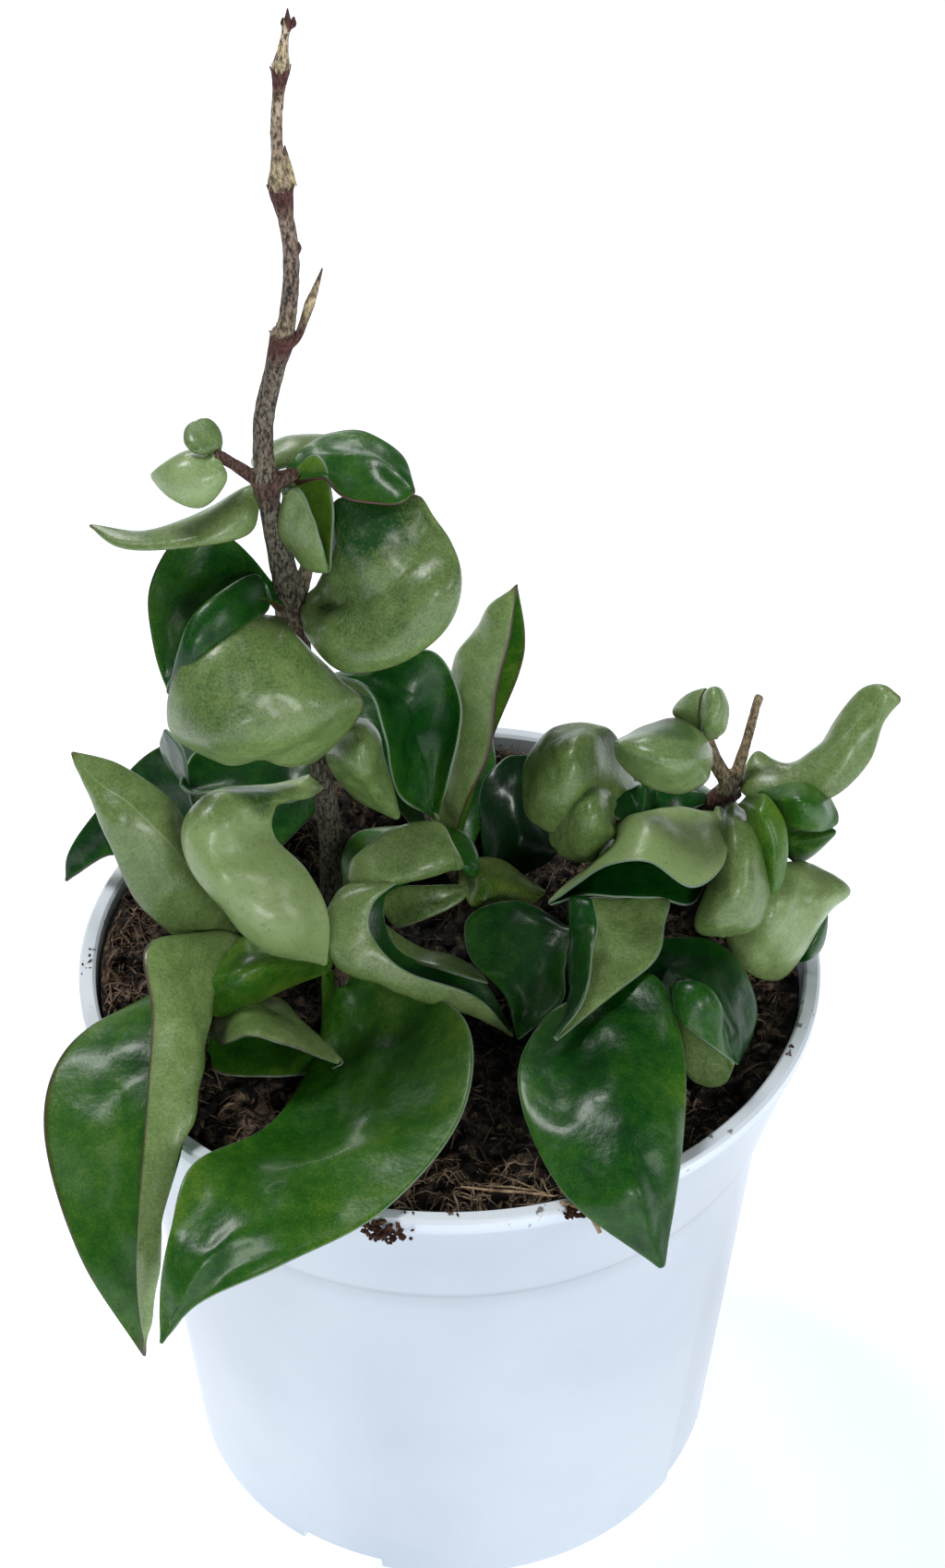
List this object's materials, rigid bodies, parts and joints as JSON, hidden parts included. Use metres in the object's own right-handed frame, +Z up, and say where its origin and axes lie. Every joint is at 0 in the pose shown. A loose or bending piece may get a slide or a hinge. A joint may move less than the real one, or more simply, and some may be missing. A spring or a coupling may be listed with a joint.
{
  "type": "potted hoya plant",
  "caption": "Small wax plant with stiff, curled and folded leaves on thin woody stems, rooted in peat soil in a plain round nursery pot.",
  "frame": {"origin": "centre of the pot's underside, on the surface that it stands on", "axes": "+Z up along the pot's axis; -Y towards the side that the picture shows; +X to its right"},
  "size_m": [0.1355, 0.1499, 0.2672],
  "materials": {
    "pot_plastic": "smooth satin, white",
    "soil": "rough, dark brown peat with tan fibres",
    "stem": "thin matte grey-brown bark",
    "leaf": "waxy dark green upper side, matte pale grey-green underside",
    "young_leaf": "waxy light green on both sides"
  },
  "bodies": {
    "root": {"pot": "pot_plastic", "soil": "soil", "main_stem": "stem", "left_stem": "stem", "centre_stem": "stem", "right_stem": "stem", "front_right_stem": "stem", "rear_stem": "stem", "leaf_bud_leaf_round": "young_leaf", "leaf_bud_leaf_pointed": "young_leaf", "leaf_top_left": "leaf", "leaf_top_back": "leaf", "leaf_top_right_cap": "leaf", "leaf_top_right_flap": "leaf", "leaf_upper_right_shell": "leaf", "leaf_upper_left_dark": "leaf", "leaf_front_shield": "leaf", "leaf_mid_right_dark": "leaf", "leaf_mid_right_pale": "leaf", "leaf_tall_spear": "leaf", "leaf_left_spear": "leaf", "leaf_far_left_dark": "leaf", "leaf_under_shield_dark": "leaf", "leaf_side_fold_dark": "leaf", "leaf_centre_left_shell": "leaf", "leaf_front_curl_top": "leaf", "leaf_front_curl_inner": "leaf", "leaf_front_s_blade": "leaf", "leaf_front_s_inner": "leaf", "leaf_hang_left": "leaf", "leaf_hang_front": "leaf", "leaf_small_curl_top": "young_leaf", "leaf_small_curl_low": "leaf", "leaf_right_twig_leaf_left": "young_leaf", "leaf_right_twig_leaf_round": "young_leaf", "leaf_right_pillow": "young_leaf", "leaf_right_round_far": "leaf", "leaf_right_round_low": "leaf", "leaf_right_dark_front": "leaf", "leaf_right_dark_rear": "leaf", "leaf_right_arm": "leaf", "leaf_right_small_cap": "young_leaf", "leaf_right_small_inner": "young_leaf", "leaf_right_lens": "young_leaf", "leaf_right_front_shell": "leaf", "leaf_right_front_back": "leaf", "leaf_right_low_tip": "leaf", "leaf_right_low_fold": "leaf", "leaf_centre_back_pale": "leaf", "leaf_centre_dark": "leaf", "leaf_centre_fold": "leaf", "leaf_hang_right": "leaf", "leaf_right_under_dark": "leaf", "leaf_right_under_pale": "leaf", "leaf_back_dark": "leaf", "leaf_rear_left": "leaf", "leaf_rear_middle": "leaf", "leaf_rear_right": "leaf", "leaf_rear_drape": "leaf"}
  },
  "joints": []
}
